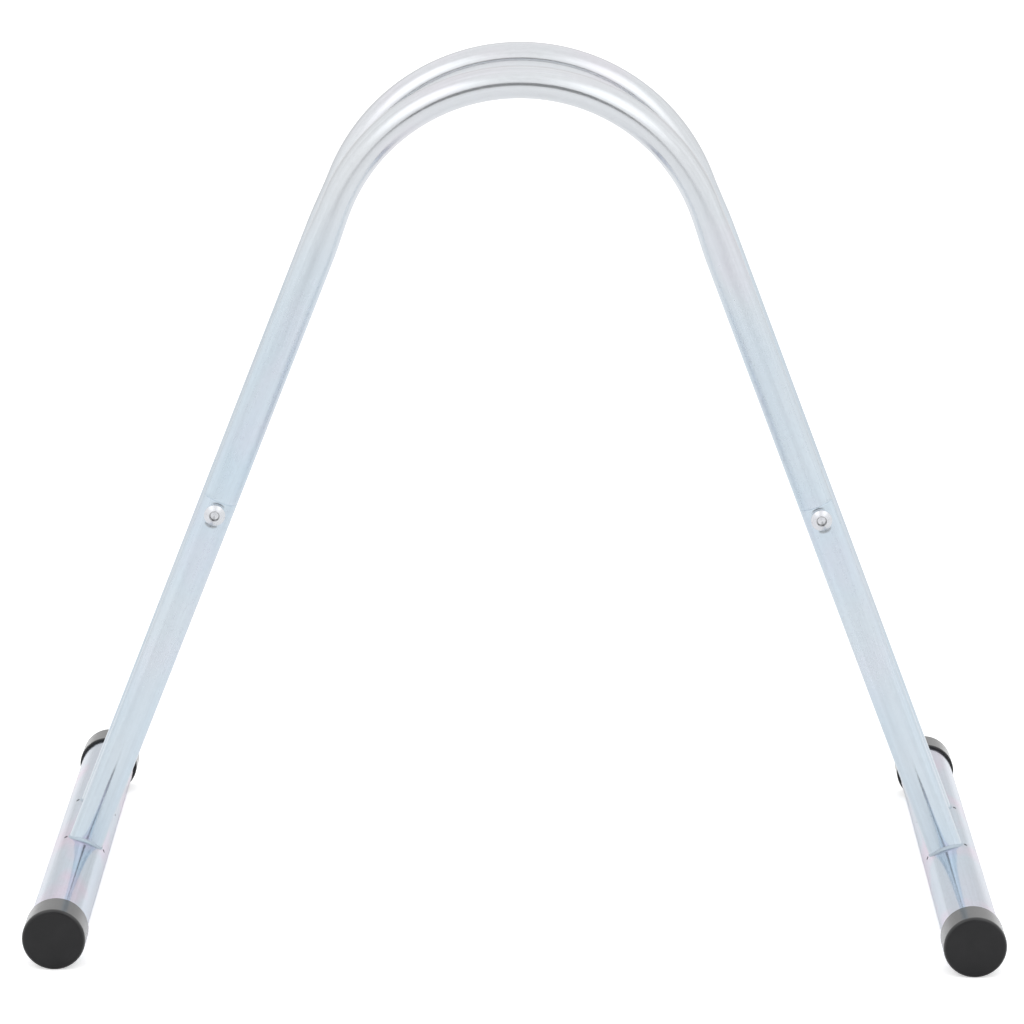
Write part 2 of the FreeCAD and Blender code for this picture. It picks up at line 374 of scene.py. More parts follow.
def swept_tube(make, given, tube_line, ring):
    """The tube from joint to joint, its section eased from round to flattened.

    Its grain attribute holds the tube's own coordinates, as if it were
    straight, for its drawn lines.
    """
    tree = make.tree
    on_line = make.add("GeometryNodeCaptureAttribute", {"Geometry": tube_line})
    for kind, name, value in (
        ("VECTOR", "Centre", make.add("GeometryNodeInputPosition").outputs[0]),
        ("VECTOR", "Tangent", make.add("GeometryNodeInputTangent").outputs[0]),
        ("FLOAT", "Along", make.add("GeometryNodeSplineParameter").outputs["Length"]),
        ("FLOAT", "Line Length", make.add("GeometryNodeSplineLength").outputs["Length"]),
    ):
        on_line.capture_items.new(kind, name)
        tree.links.new(value, on_line.inputs[name])
    section = make.add("GeometryNodeCaptureAttribute", {"Geometry": ring})
    section.capture_items.new("FLOAT", "Turn")
    turn = make.add("GeometryNodeSplineParameter").outputs["Factor"]
    tree.links.new(turn, section.inputs["Turn"])
    tube = make.add(
        "GeometryNodeCurveToMesh",
        {"Curve": on_line.outputs[0], "Profile Curve": section.outputs[0]},
    ).outputs[0]
    centre, direction, along, line_length = on_line.outputs[1:5]
    angle = make.math("MULTIPLY", section.outputs["Turn"], math.tau)
    from_end = make.math("MINIMUM", along, make.math("SUBTRACT", line_length, along))
    blend_start = given["Blend Start"]
    blend_end = make.math("ADD", blend_start, given["Blend Length"])
    flattening = make.smooth(from_end, blend_start, blend_end)

    def half(bent):
        """Half the section's size at a point, on its way to the bend's."""
        change = make.math("SUBTRACT", bent, given["Tube Diameter"])
        full = make.math("MULTIPLY_ADD", change, flattening, given["Tube Diameter"])
        return make.math("MULTIPLY", full, 0.5)

    cosine, sine = make.math("COSINE", angle), make.math("SINE", angle)
    outwards = make.math("MULTIPLY", cosine, half(given["Bend Height"]))
    across = make.math("MULTIPLY", sine, half(given["Bend Width"]))
    in_plane = make.vector_math("CROSS_PRODUCT", direction, (0, 1, 0))
    surface = make.vector_math("ADD", centre, make.scaled(in_plane, outwards))
    surface = make.vector_math("ADD", surface, make.combined(Y=across))
    tube = make.add(
        "GeometryNodeSetPosition", {"Geometry": tube, "Position": surface}
    ).outputs[0]
    radius = make.math("MULTIPLY", given["Tube Diameter"], 0.5)
    straight = make.combined(
        X=make.math("MULTIPLY", cosine, radius),
        Y=make.math("MULTIPLY", sine, radius),
        Z=make.math("ADD", along, given["Joint Height"]),
    )
    tube = make.add(
        "GeometryNodeStoreNamedAttribute",
        {"Geometry": tube, "Name": GRAIN, "Value": straight},
        data_type="FLOAT_VECTOR", domain="POINT",
    ).outputs[0]
    return make.add("GeometryNodeFlipFaces", {"Mesh": tube}).outputs[0]


def swaged_spigot(make, given, spigot_line, ring):
    """A straight spigot, flat towards its screw."""
    spigot = make.add(
        "GeometryNodeCurveToMesh", {"Curve": spigot_line, "Profile Curve": ring}
    ).outputs[0]
    ways = make.separate(make.add("GeometryNodeInputPosition").outputs[0])
    lowest = make.math("MULTIPLY", given["Spigot Flat"], -1.0)
    flattened = make.combined(
        X=ways["X"], Y=make.math("MAXIMUM", ways["Y"], lowest), Z=ways["Z"]
    )
    return make.add(
        "GeometryNodeSetPosition", {"Geometry": spigot, "Position": flattened}
    ).outputs[0]


def fill_swept_arch(tree):
    """A bent tube from joint to joint, with a swaged spigot at each end."""
    add_sockets(
        tree,
        [
            ("Path", "NodeSocketGeometry", None),
            ("Bend Radius", "NodeSocketFloat", 0.1),
            ("Tube Diameter", "NodeSocketFloat", 0.02),
            ("Bend Height", "NodeSocketFloat", 0.018),
            ("Bend Width", "NodeSocketFloat", 0.022),
            ("Blend Start", "NodeSocketFloat", 0.15),
            ("Blend Length", "NodeSocketFloat", 0.03),
            ("Joint Height", "NodeSocketFloat", 0.2),
            ("Spigot Diameter", "NodeSocketFloat", 0.017),
            ("Spigot Length", "NodeSocketFloat", 0.04),
            ("Spigot Lap", "NodeSocketFloat", 0.006),
            ("Spigot Flat", "NodeSocketFloat", 0.008),
            ("Ring Spacing", "NodeSocketFloat", 0.0025),
            ("Sides", "NodeSocketInt", 48),
            ("Material", "NodeSocketMaterial", None),
        ],
        [("Mesh", "NodeSocketGeometry")],
    )
    make = TreeMaker(tree)
    given = make.add("NodeGroupInput").outputs
    path = make.add("GeometryNodeMeshToCurve", {"Mesh": given["Path"]})
    centre_line = make.add(
        "GeometryNodeFilletCurve",
        {"Curve": path.outputs[0], "Count": 128, "Radius": given["Bend Radius"]},
        mode="POLY",
    ).outputs[0]
    whole = make.add("GeometryNodeCurveLength", {"Curve": centre_line}).outputs[0]

    def stretch(start, end):
        """A part of the centre line, in rings."""
        cut = make.add(
            "GeometryNodeTrimCurve", {"Curve": centre_line, 4: start, 5: end},
            mode="LENGTH",
        )
        return make.add(
            "GeometryNodeResampleCurve",
            {"Curve": cut.outputs[0], "Length": given["Ring Spacing"]},
            mode="LENGTH",
        ).outputs[0]

    def ring(diameter):
        """A circle to sweep."""
        radius = make.math("MULTIPLY", diameter, 0.5)
        return make.add(
            "GeometryNodeCurvePrimitiveCircle",
            {"Resolution": given["Sides"], "Radius": radius},
        ).outputs[0]

    joint = given["Joint Height"]
    spigot_start = make.math("SUBTRACT", joint, given["Spigot Length"])
    spigot_end = make.math("ADD", joint, given["Spigot Lap"])

    def from_far_end(length_along):
        """The same length, taken from the centre line's other end."""
        return make.math("SUBTRACT", whole, length_along)

    tube_line = stretch(joint, from_far_end(joint))
    parts = [swept_tube(make, given, tube_line, ring(given["Tube Diameter"]))]
    for start, end in (
        (spigot_start, spigot_end),
        (from_far_end(spigot_end), from_far_end(spigot_start)),
    ):
        spigot_ring = ring(given["Spigot Diameter"])
        parts.append(swaged_spigot(make, given, stretch(start, end), spigot_ring))
    joined = make.add("GeometryNodeJoinGeometry")
    for part in reversed(parts):
        tree.links.new(part, joined.inputs[0])
    real = make.add("GeometryNodeRealizeInstances", {"Geometry": joined.outputs[0]})
    smooth = make.add("GeometryNodeSetShadeSmooth", {"Geometry": real.outputs[0]})
    finished = make.add(
        "GeometryNodeSetMaterial",
        {"Geometry": smooth.outputs[0], "Material": given["Material"]},
    )
    make.add("NodeGroupOutput", {"Mesh": finished.outputs[0]})
    make.arrange()


# ---- shader groups ----

def fill_drawn_zinc(tree):
    """Zinc on a drawn tube: lines along it, mottled crystals, soft tints and painted
    shade.
    """
    add_sockets(
        tree,
        [
            ("Vector", "NodeSocketVector", None),
            ("Zinc", "NodeSocketColor", (0.7, 0.7, 0.7, 1)),
            ("Blue Zinc", "NodeSocketColor", (0.6, 0.7, 0.8, 1)),
            ("Pink Zinc", "NodeSocketColor", (0.7, 0.6, 0.7, 1)),
            ("Blue", "NodeSocketFloat", 0.5),
            ("Pink", "NodeSocketFloat", 0.5),
            ("Lines", "NodeSocketFloat", 0.5),
            ("Least Roughness", "NodeSocketFloat", 0.2),
            ("Added Roughness", "NodeSocketFloat", 0.0),
            # Shade is painted shade: it darkens and greys the colour
            ("Shade", "NodeSocketFloat", 0.0),
        ],
        [
            ("Color", "NodeSocketColor"),
            ("Roughness", "NodeSocketFloat"),
            ("Height", "NodeSocketFloat"),
        ],
    )
    make = TreeMaker(tree)
    given = make.add("NodeGroupInput").outputs

    def noise(scales, size, detail, roughness=0.5):
        """Noise drawn out along the tube, where a scale is less than 1."""
        stretched = make.vector_math("MULTIPLY", given["Vector"], scales)
        return make.add(
            "ShaderNodeTexNoise",
            {"Vector": stretched, "Scale": size,
             "Detail": detail, "Roughness": roughness},
        ).outputs[0]

    fine_lines = noise((1, 1, 0.012), 900, 3)
    broad_lines = noise((1, 1, 0.03), 190, 2)
    mottle = noise((1, 1, 0.6), 420, 4, 0.6)
    blue_patch = make.remap(noise((1, 1, 0.35), 26, 2), 0.35, 0.65)
    pink_patch = make.remap(noise((1, 1, 0.5), 34, 2), 0.5, 0.7)

    # the blue is more than half its share everywhere, and all of it in patches
    blue_share = make.math(
        "MULTIPLY", given["Blue"], make.remap(blue_patch, 0, 1, 0.6, 1.0)
    )
    tinted = make.mixed(blue_share, given["Zinc"], given["Blue Zinc"])
    pink_share = make.math("MULTIPLY", given["Pink"], pink_patch)
    tinted = make.mixed(pink_share, tinted, given["Pink Zinc"])
    # painted shade takes away the tint as well as the light
    shaded_zinc = (0.65, 0.65, 0.66, 1)
    tinted = make.mixed(given["Shade"], tinted, shaded_zinc)
    broad_tone = make.remap(broad_lines, 0.3, 0.7, -0.10, 0.07)
    fine_tone = make.remap(fine_lines, 0.3, 0.7, -0.06, 0.05)
    line_tone = make.math(
        "ADD",
        make.math("MULTIPLY", broad_tone, given["Lines"]),
        make.math("MULTIPLY", fine_tone, given["Lines"]),
    )
    tone = make.math("ADD", line_tone, make.remap(mottle, 0.3, 0.7, 0.97, 1.02))
    tone = make.math("MULTIPLY", tone, make.math("SUBTRACT", 1.0, given["Shade"]))
    shaded = make.mixed(1.0, tinted, make.grey(tone), "MULTIPLY")
    roughness = make.math(
        "ADD",
        make.math("MULTIPLY_ADD", given["Blue"], given["Added Roughness"],
                  given["Least Roughness"]),
        make.math("ADD", make.remap(mottle, 0.3, 0.7, 0.0, 0.06),
                  make.remap(fine_lines, 0.3, 0.7, 0.0, 0.06)),
    )
    height = make.math(
        "ADD",
        make.math("MULTIPLY", fine_lines, make.math("MULTIPLY", given["Lines"], 0.2)),
        make.math("ADD", make.math("MULTIPLY", mottle, 0.2),
                  make.math("MULTIPLY", broad_lines, 0.8)),
    )
    make.add(
        "NodeGroupOutput", {"Color": shaded, "Roughness": roughness, "Height": height}
    )
    make.arrange()


def fill_moulded_grain(tree):
    """Fine spark-eroded grain, scuffs and a little dust on moulded plastic."""
    add_sockets(
        tree,
        [
            ("Vector", "NodeSocketVector", None),
            ("Plastic", "NodeSocketColor", (0.02, 0.02, 0.02, 1)),
            ("Dust", "NodeSocketFloat", 0.5),
        ],
        [
            ("Color", "NodeSocketColor"),
            ("Roughness", "NodeSocketFloat"),
            ("Height", "NodeSocketFloat"),
        ],
    )
    make = TreeMaker(tree)
    given = make.add("NodeGroupInput").outputs
    grain = make.add(
        "ShaderNodeTexNoise",
        {"Vector": given["Vector"], "Scale": 2600.0, "Detail": 2.0},
    ).outputs[0]
    cloud = make.add(
        "ShaderNodeTexNoise", {"Vector": given["Vector"], "Scale": 90.0, "Detail": 4.0}
    ).outputs[0]
    dust = make.remap(cloud, 0.45, 0.75, 0.0, 0.25)
    grey_dust = (0.03, 0.03, 0.033, 1)
    dusty = make.mixed(
        make.math("MULTIPLY", dust, given["Dust"]), given["Plastic"], grey_dust
    )
    roughness = make.math("MULTIPLY_ADD", cloud, 0.12, 0.26)
    make.add(
        "NodeGroupOutput",
        {"Color": dusty, "Roughness": roughness, "Height": grain},
    )
    make.arrange()


# ---- materials ----

def rgba(colour_value):
    """A colour setting as a node socket takes it."""
    return (*colour_value, 1.0)


def start_material(name):
    """An empty node material, its tree maker and its Principled shader."""
    material = bpy.data.materials.new(name)
    material.use_nodes = True
    material.node_tree.nodes.clear()
    make = TreeMaker(material.node_tree)
    shader = make.add("ShaderNodeBsdfPrincipled")
    make.add("ShaderNodeOutputMaterial", {"Surface": shader.outputs[0]})
    return material, make, shader


def finish_surface(make, shader, group, relief):
    """Feeds a group's colour, roughness and height to the shader."""
    bump = make.add(
        "ShaderNodeBump", {"Height": group.outputs["Height"], "Distance": relief}
    )
    make.feed(shader, {
        "Base Color": group.outputs["Color"],
        "Roughness": group.outputs["Roughness"],
        "Normal": bump.outputs[0],
    })
    make.arrange()


def distance_across(make, sideways, up):
    """The length of two coordinates taken together."""
    squares = [make.math("MULTIPLY", way, way) for way in (sideways, up)]
    return make.math("SQRT", make.math("ADD", *squares))


def object_parts(make):
    """The X, Y and Z of the object coordinates, in metres."""
    return make.separate(make.add("ShaderNodeTexCoord").outputs["Object"])


def from_tube_axis(make):
    """How far a point is from the axis of the floor tube on its side."""
    parts = object_parts(make)
    sideways = make.math(
        "SUBTRACT", make.math("ABSOLUTE", parts["X"]), FLOOR_TUBE_SPACING / 2
    )
    return distance_across(
        make, sideways, make.math("SUBTRACT", parts["Z"], AXIS_HEIGHT)
    )


def crevice_shade(make):
    """Painted shade at the two ends of the seat that is pressed under a screw's head."""
    mark = make.add("ShaderNodeAttribute", attribute_name=CREVICE).outputs["Fac"]
    return make.math("MULTIPLY", mark, bpy.context.scene.rack_finish.seat_shade)


def bore_shade(make):
    """Painted shade inside a floor tube, where its vent holes show the bore."""
    outside = FLOOR_TUBE_DIAMETER / 2
    return make.smooth(
        from_tube_axis(make), outside - 0.0004, outside - 0.0002,
        bpy.context.scene.rack_finish.bore_shade, 0.0,
    )


def socket_shade(make):
    """Painted shade on the walls of the socket in each screw's head.

    All four corners are folded onto the front right one, whose leg's own
    frame gives the distance from the screw's axis.
    """
    sizes = bpy.context.scene.rack_hoops
    into_leg = HoopShape(sizes).leg_matrix(SIDES["right"], ENDS["front"]).inverted()
    parts = object_parts(make)
    folded = make.combined(
        X=make.math("ABSOLUTE", parts["X"]),
        Y=make.math("MULTIPLY", make.math("ABSOLUTE", parts["Y"]), ENDS["front"]),
        Z=parts["Z"],
    )

    def along(row, start):
        """How far a point is past a start, along one axis of the leg's frame."""
        reach = make.vector_math("DOT_PRODUCT", folded, tuple(into_leg[row][:3]))
        return make.math("ADD", reach, into_leg[row][3] - start)

    from_axis = distance_across(
        make, along(0, 0.0), along(2, sizes.leg_length - sizes.screw_drop)
    )
    darkness = bpy.context.scene.rack_finish.socket_shade
    off_floor = make.smooth(from_axis, 0.0021, 0.0024)
    off_rim = make.smooth(from_axis, 0.0028, 0.0031, darkness, 0.0)
    return make.math("MULTIPLY", off_floor, off_rim)


def zinc_material(name, coordinates, blue, pink, roughness, lines=None, zinc=None,
                  added_roughness=0.0, shade=None):
    """Bright zinc plating; coordinates is "grain", "along_y" or "object".

    blue is one share, or (low, high, share at low, share at high) for a share that changes
    with height. Then added_roughness, which goes with the blue, fades out towards the
    floor. shade paints shade on the dark places, if there are any.
    """
    material = bpy.data.materials.get(name)
    if material:
        return material
    finish = bpy.context.scene.rack_finish
    material, make, shader = start_material(name)
    shader.inputs["Metallic"].default_value = 1.0
    if coordinates == "grain":
        vector = make.add("ShaderNodeAttribute", attribute_name=GRAIN).outputs["Vector"]
    else:
        vector = make.add("ShaderNodeTexCoord").outputs["Object"]
        if coordinates == "along_y":
            parts = make.separate(vector)
            vector = make.combined(X=parts["X"], Y=parts["Z"], Z=parts["Y"])
    if isinstance(blue, tuple):
        height = object_parts(make)["Z"]
        blue = make.smooth(height, *blue)
        added_roughness = make.smooth(height, 0.06, 0.18, 0.0, added_roughness)
    group = make.add(
        "ShaderNodeGroup",
        {
            "Vector": vector,
            "Zinc": rgba(zinc or finish.zinc),
            "Blue Zinc": rgba(finish.zinc_blue),
            "Pink Zinc": rgba(finish.zinc_pink),
            "Blue": blue,
            "Pink": pink,
            "Lines": finish.drawn_lines if lines is None else lines,
            "Least Roughness": roughness,
            "Added Roughness": added_roughness,
            "Shade": shade(make) if shade else 0.0,
        },
        node_tree=group_once("Drawn Zinc", "ShaderNodeTree", fill_drawn_zinc),
    )
    finish_surface(make, shader, group, finish.zinc_relief)
    return material


def hoop_zinc():
    """Bluer and duller on the legs than on the arches, with painted shade at the ends of
    the screws' seats.
    """
    return zinc_material(
        "hoop_zinc", "grain", blue=(0.30, 0.45, 1.0, 0.12), pink=0.15, roughness=0.09,
        added_roughness=0.15, shade=crevice_shade,
    )


# ---- finished pieces ----

def add_piece(name, mesh, slot, *nodes):
    """Shows a mesh in the place of CAD nodes, riding on the rack's one body."""
    piece = bpy.data.objects.new(name, mesh)
    bpy.context.scene.collection.objects.link(piece)
    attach(piece, BODY)
    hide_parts(*nodes)
    return piece


def plain_mesh(source, matrix):
    """The evaluated mesh of an object moved to its place; the source is removed."""
    evaluated = source.evaluated_get(bpy.context.evaluated_depsgraph_get())
    mesh = bpy.data.meshes.new_from_object(evaluated)
    mesh.transform(matrix)
    bpy.data.objects.remove(source)
    return mesh


def modifier_input(modifier, name, value):
    """Sets an input of a geometry nodes modifier by its socket's identifier."""
    for item in modifier.node_group.interface.items_tree:
        if item.item_type == "SOCKET" and item.in_out == "INPUT" and item.name == name:
            modifier[item.identifier] = value
            return
    raise KeyError(f"the tree has no input named {name}")


def arch_mesh(sizes, shape, name, matrix):
    """One arch with its spigots, as a hollow tube."""
    half_width = FLOOR_TUBE_SPACING / 2
    path = bpy.data.meshes.new(name)
    path.from_pydata(
        [(-half_width, 0, 0), (0, 0, shape.corner_rise), (half_width, 0, 0)],
        [(0, 1), (1, 2)], [],
    )
    source = bpy.data.objects.new(name + "_source", path)
    bpy.context.scene.collection.objects.link(source)
    sweep = source.modifiers.new("Swept Arch", "NODES")
    sweep.node_group = group_once("Swept Arch", "GeometryNodeTree", fill_swept_arch)
    straight = shape.tangent_height - sizes.leg_length
    bore = sizes.tube_diameter - 2 * sizes.wall
    for key, value in {
        "Bend Radius": sizes.bend_radius,
        "Tube Diameter": sizes.tube_diameter,
        "Bend Height": sizes.bend_height,
        "Bend Width": sizes.bend_width,
        "Blend Start": straight - sizes.blend_length,
        "Blend Length": sizes.blend_length,
        "Joint Height": sizes.leg_length,
        "Spigot Diameter": bore - 2 * sizes.spigot_gap,
        "Spigot Length": sizes.spigot_length,
        "Spigot Lap": sizes.screw_drop,
        "Spigot Flat": bore / 2 - sizes.seat_depth - sizes.spigot_gap,
        "Ring Spacing": sizes.ring_spacing,
        "Sides": sizes.sides,
        "Material": hoop_zinc(),
    }.items():
        modifier_input(sweep, key, value)
    hollow = source.modifiers.new("Wall", "SOLIDIFY")
    hollow.thickness = sizes.wall
    hollow.offset = -1
    hollow.use_even_offset = True
    broken = source.modifiers.new("Edge Break", "BEVEL")
    broken.width = sizes.edge_break
    broken.segments = 2
    broken.limit_method = "ANGLE"
    broken.angle_limit = math.radians(60)
    return plain_mesh(source, matrix)


def eased(value, low, high):
    """0 below low, 1 above high, and smooth between."""
    x = min(max((value - low) / (high - low), 0), 1)
    return x * x * (3 - 2 * x)


def steps(low, high, step):
    """Evenly spaced values from low to high, no further apart than step."""
    count = max(1, math.ceil((high - low) / step))
    return [low + (high - low) * i / count for i in range(count + 1)]


class LegSurface:
    """Points on a leg's tube, in the leg's own frame.

    The tube is coped to the floor tube at its foot, and pressed flat round
    its screw, on its -Y side.
    """

    def __init__(self, sizes, matrix):
        self.sizes = sizes
        self.floor_axis = (matrix.to_3x3().inverted() @ Vector((0, 1, 0))).normalized()
        self.screw_height = sizes.leg_length - sizes.screw_drop

    def foot(self, x, y):
        """The height where a line up the leg leaves the floor tube."""
        axis = self.floor_axis
        flat = Vector((x, y, 0))
        square_to_axis = flat - axis * flat.dot(axis)
        upwards = Vector((0, 0, 1)) - axis * axis.z
        a = upwards.length_squared
        b = square_to_axis.dot(upwards)
        c = square_to_axis.length_squared - (FLOOR_TUBE_DIAMETER / 2) ** 2
        return (-b + math.sqrt(b * b - a * c)) / a

    def point(self, turn, share_up, height, inset):
        """A point at an angle from the screw side, on the outside or inset from it.

        With it comes how much painted shade the seat's edge gets there, from 0 to 1.
        """
        sizes = self.sizes
        radius = sizes.tube_diameter / 2 - inset
        x, y = radius * math.sin(turn), -radius * math.cos(turn)
        if share_up is not None:
            low = self.foot(x, y)
            height = low + (height - low) * share_up
        flat = radius - sizes.seat_depth
        from_screw = math.hypot(x, height - self.screw_height)
        edge = sizes.seat_diameter / 2
        pressed = 1 - eased(
            from_screw, edge - sizes.seat_edge / 2, edge + sizes.seat_edge
        )
        above_flat = max(0.0, -y - flat)
        # the painted shade at the seat's edge is slimmer above the screw than below it
        spread = sizes.seat_edge * (0.7 if height > self.screw_height else 0.9)
        near_edge = math.exp(-((from_screw - edge) / spread) ** 2)
        crevice = min(1.0, 2 * above_flat / sizes.seat_depth * near_edge)
        return (x, y + above_flat * pressed, height), crevice


def leg_mesh(sizes, shape, name, side, end):
    """One leg as a hollow tube, coped at the foot and pressed at the screw."""
    matrix = shape.leg_matrix(side, end)
    surface = LegSurface(sizes, matrix)
    wide_turn, fine_turn = math.radians(5), math.radians(1.5)
    pressed = math.radians(51)
    turns = steps(-pressed, pressed, fine_turn)
    turns += steps(pressed, math.tau - pressed, wide_turn)[1:-1]
    seat_low = surface.screw_height - sizes.seat_diameter / 2 - 2 * sizes.seat_edge
    top = sizes.leg_length
    edge_low = top - sizes.edge_break
    rows = [(share_up, seat_low) for share_up in steps(0, 1, 1 / 24)]
    rows += [(None, z) for z in steps(seat_low, edge_low, sizes.row_spacing)[1:]]
    outside = [(row, 0.0) for row in rows]
    rim = [((None, top), sizes.edge_break), ((None, top), sizes.wall)]
    inside = [(row, sizes.wall) for row in reversed(rows)]
    rings = outside + rim + inside
    points, crevices = zip(
        *(surface.point(turn, *row, inset) for row, inset in rings for turn in turns)
    )
    count = len(turns)
    faces = []
    for i in range(len(rings)):
        here, above = i * count, (i + 1) % len(rings) * count
        for j in range(count):
            k = (j + 1) % count
            faces.append((here + j, here + k, above + k, above + j))
    mesh = bpy.data.meshes.new(name)
    mesh.from_pydata(points, [], faces)
    grain = mesh.attributes.new(GRAIN, "FLOAT_VECTOR", "POINT")
    grain.data.foreach_set("vector", [c for p in points for c in p])
    # the painted shade at the seat's edges, for the hoop's zinc to read
    crevice = mesh.attributes.new(CREVICE, "FLOAT", "POINT")
    crevice.data.foreach_set("value", crevices)
    mesh.materials.append(hoop_zinc())
    mesh.shade_smooth()
    mesh.set_sharp_from_angle(angle=math.radians(50))
    mesh.transform(matrix)
    return mesh


# ---- operators ----

class RACK_OT_make_arches(bpy.types.Operator):
    """Sweep the two arches and put them in the place of their CAD nodes."""

    bl_idname = "rack.make_arches"
    bl_label = "Make Arches"

    def execute(self, context):
        sizes = context.scene.rack_hoops
        shape = HoopShape(sizes)
        for end_name, end in ENDS.items():
            name = f"{end_name}_arch_tube"
            mesh = arch_mesh(sizes, shape, name, shape.hoop_matrix(end))
            add_piece(name, mesh, "zinc_hoop_tube", f"{end_name}_arch")
        return {"FINISHED"}


class RACK_OT_make_legs(bpy.types.Operator):
    """Build the four legs, coped at the foot and pressed flat round the screw."""

    bl_idname = "rack.make_legs"
    bl_label = "Make Legs"

    def execute(self, context):
        sizes = context.scene.rack_hoops
        shape = HoopShape(sizes)
        for end, side in CORNERS:
            name = f"{end}_{side}_leg_tube"
            mesh = leg_mesh(sizes, shape, name, SIDES[side], ENDS[end])
            add_piece(name, mesh, "zinc_hoop_tube", f"{end}_{side}_leg")
        return {"FINISHED"}


def finish_nodes(names, material):
    """Gives CAD nodes a finish."""
    for name in names:
        node = frame["nodes"][name]
        node.data.materials.clear()
        node.data.materials.append(material)


class RACK_OT_finish_floor_tubes(bpy.types.Operator):
    """Give the two floor tubes their tinted zinc."""

    bl_idname = "rack.finish_floor_tubes"
    bl_label = "Finish Floor Tubes"

    def execute(self, context):
        lavender = context.scene.rack_finish.zinc_lavender
        # the floor tubes carry painted shade inside, seen through their vent holes
        material = zinc_material(
            "floor_tube_zinc", "along_y", blue=0.8, pink=0.75, roughness=0.10,
            zinc=lavender, shade=bore_shade,
        )
        finish_nodes([f"{side}_floor_tube" for side in SIDES], material)
        return {"FINISHED"}


class RACK_OT_finish_end_caps(bpy.types.Operator):
    """Give the four end caps their moulded black plastic."""

    bl_idname = "rack.finish_end_caps"
    bl_label = "Finish End Caps"

    def execute(self, context):
        finish = context.scene.rack_finish
        material, make, shader = start_material("cap_plastic")
        group = make.add(
            "ShaderNodeGroup",
            {"Vector": make.add("ShaderNodeTexCoord").outputs["Object"]},
            node_tree=group_once("Moulded Grain", "ShaderNodeTree", fill_moulded_grain),
        )
        group.inputs["Plastic"].default_value = rgba(finish.cap)
        # the sleeve is glossier than the end
        end_radius, sleeve_radius = 0.0162, 0.0174
        make.feed(shader, {
            "IOR": 1.44,
            "Coat Weight": make.remap(from_tube_axis(make), end_radius, sleeve_radius),
            "Coat Roughness": 0.18,
        })
        finish_surface(make, shader, group, finish.cap_relief)
        finish_nodes([f"{end}_{side}_end_cap" for end, side in CORNERS], material)
        return {"FINISHED"}


class RACK_OT_finish_foot_welds(bpy.types.Operator):
    """Give the four weld beads their dull zinc."""

    bl_idname = "rack.finish_foot_welds"
    bl_label = "Finish Foot Welds"

    def execute(self, context):
        dull = context.scene.rack_finish.zinc_dull
        material = zinc_material(
            "weld_zinc", "object", blue=0.6, pink=0.0, roughness=0.5, lines=0.0, zinc=dull
        )
        finish_nodes([f"{end}_{side}_foot_weld" for end, side in CORNERS], material)
        return {"FINISHED"}


class RACK_OT_finish_joint_screws(bpy.types.Operator):
    """Give the joint screws and the hidden nuts their zinc."""

    bl_idname = "rack.finish_joint_screws"
    bl_label = "Finish Joint Screws"

    def execute(self, context):
        # the screws carry painted shade on their sockets' walls
        screws = zinc_material(
            "screw_zinc", "object", blue=0.1, pink=0.1, roughness=0.2, lines=0.2,
            shade=socket_shade,
        )
        finish_nodes([f"{end}_{side}_joint_screw" for end, side in CORNERS], screws)
        nuts = zinc_material(
            "nut_zinc", "object", blue=0.0, pink=0.1, roughness=0.3, lines=0.2
        )
        finish_nodes([f"{end}_{side}_joint_nut" for end, side in CORNERS], nuts)
        return {"FINISHED"}


def stage_object(name, data):
    """An object of the studio, linked to the scene."""
    stage = bpy.data.objects.new(name, data)
    bpy.context.scene.collection.objects.link(stage)
    return stage


def add_softbox(name, side, studio):
    """A soft-edged rectangular studio light that faces the arches."""
    spot, aim, along = (
        Vector((side * x, y, z))
        for x, y, z in (studio.softbox_place, studio.softbox_aim, studio.softbox_along)
    )
    light = bpy.data.lights.new(name, "AREA")
    light.shape = "RECTANGLE"
    light.size = studio.softbox_width
    light.size_y = studio.softbox_length
    light.energy = studio.softbox_power
    light.use_nodes = True
    light.node_tree.nodes.clear()
    make = TreeMaker(light.node_tree)
    on_light = make.add("ShaderNodeNewGeometry").outputs["Parametric"]
    from_middle = make.vector_math("DISTANCE", on_light, (0.5, 0.5, 0))
    strength = make.smooth(from_middle, 0.5, 0.1)
    glow = make.add("ShaderNodeEmission", {"Strength": strength})
    make.add("ShaderNodeOutputLight", {"Surface": glow.outputs[0]})
    make.arrange()
    box = stage_object(name, light)
    box.visible_camera = False
    box.location = spot
    away = (spot - aim).normalized()
    across = along.cross(away).normalized()
    turned = Matrix((across, away.cross(across), away)).transposed()
    box.rotation_mode = "QUATERNION"
    box.rotation_quaternion = turned.to_quaternion()


def add_dark_card(studio):
    """An oval grey card behind the camera, which draws the tubes' dark lines."""
    x, y, z = studio.card_place
    card = bpy.data.meshes.new("dark_card")
    sides = 48
    turns = [math.tau * i / sides for i in range(sides)]
    corners = [
        (x + studio.card_width / 2 * math.sin(turn), y,
         z + studio.card_height / 2 * math.cos(turn))
        for turn in turns
    ]
    card.from_pydata(corners, [], [range(sides)])
    material, make, shader = start_material("dark_card")
    make.feed(shader, {"Base Color": (0.3, 0.3, 0.3, 1), "Roughness": 1.0})
    make.arrange()
    card.materials.append(material)
    card = stage_object("dark_card", card)
    card.visible_camera = False


def add_camera(studio):
    """The camera at the photo's viewing angle."""
    lens = bpy.data.cameras.new("camera")
    lens.lens = studio.lens
    camera = stage_object("camera", lens)
    sight = Vector(studio.aim) - Vector(studio.camera_place)
    camera.location = studio.camera_place
    camera.rotation_mode = "QUATERNION"
    turned = sight.to_track_quat("-Z", "Y").to_matrix() @ Matrix.Rotation(
        studio.roll, 3, "Z"
    )
    camera.rotation_quaternion = turned.to_quaternion()
    bpy.context.scene.camera = camera


